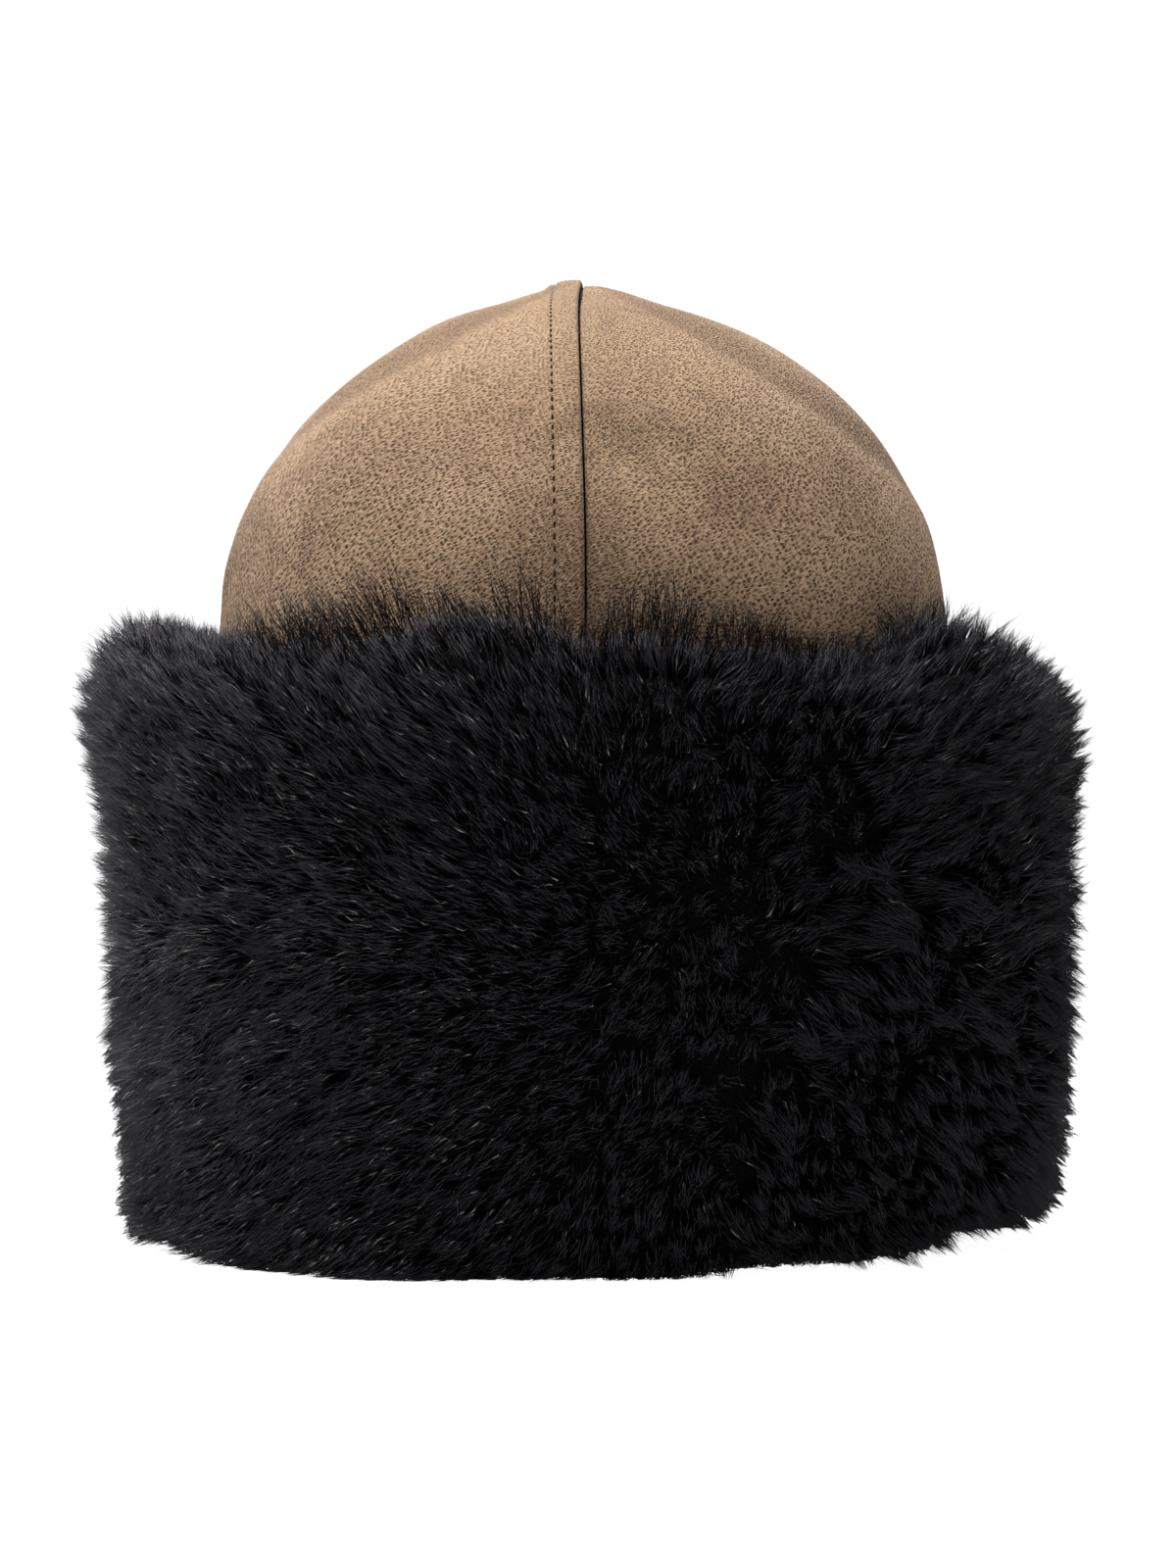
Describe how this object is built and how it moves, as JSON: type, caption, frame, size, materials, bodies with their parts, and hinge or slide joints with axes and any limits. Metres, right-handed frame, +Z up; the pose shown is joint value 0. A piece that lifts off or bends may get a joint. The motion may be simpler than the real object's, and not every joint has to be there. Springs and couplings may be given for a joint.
{
  "type": "shearling hat",
  "caption": "Domed suede hat with a front-to-back seam, a raised strip beside it, a wool lining and a tall turned-up cuff of long black wool.",
  "frame": {"origin": "middle of the base, on the surface that the hat stands on", "axes": "+Z up through the peak, -Y to the front of the hat, +X to the right as seen from the front; the seam lies in the plane x = 0"},
  "size_m": [0.2487, 0.2813, 0.2397],
  "materials": {
    "suede": "napped suede, light brown grey, matt, with small pits",
    "wool": "long dyed sheep's wool, black, with a soft sheen"
  },
  "bodies": {
    "root": {"crown_panel_left": "suede", "crown_panel_right": "suede", "crown_lining_wool": "wool", "cuff_hide": "suede", "cuff_wool": "wool"}
  },
  "joints": []
}
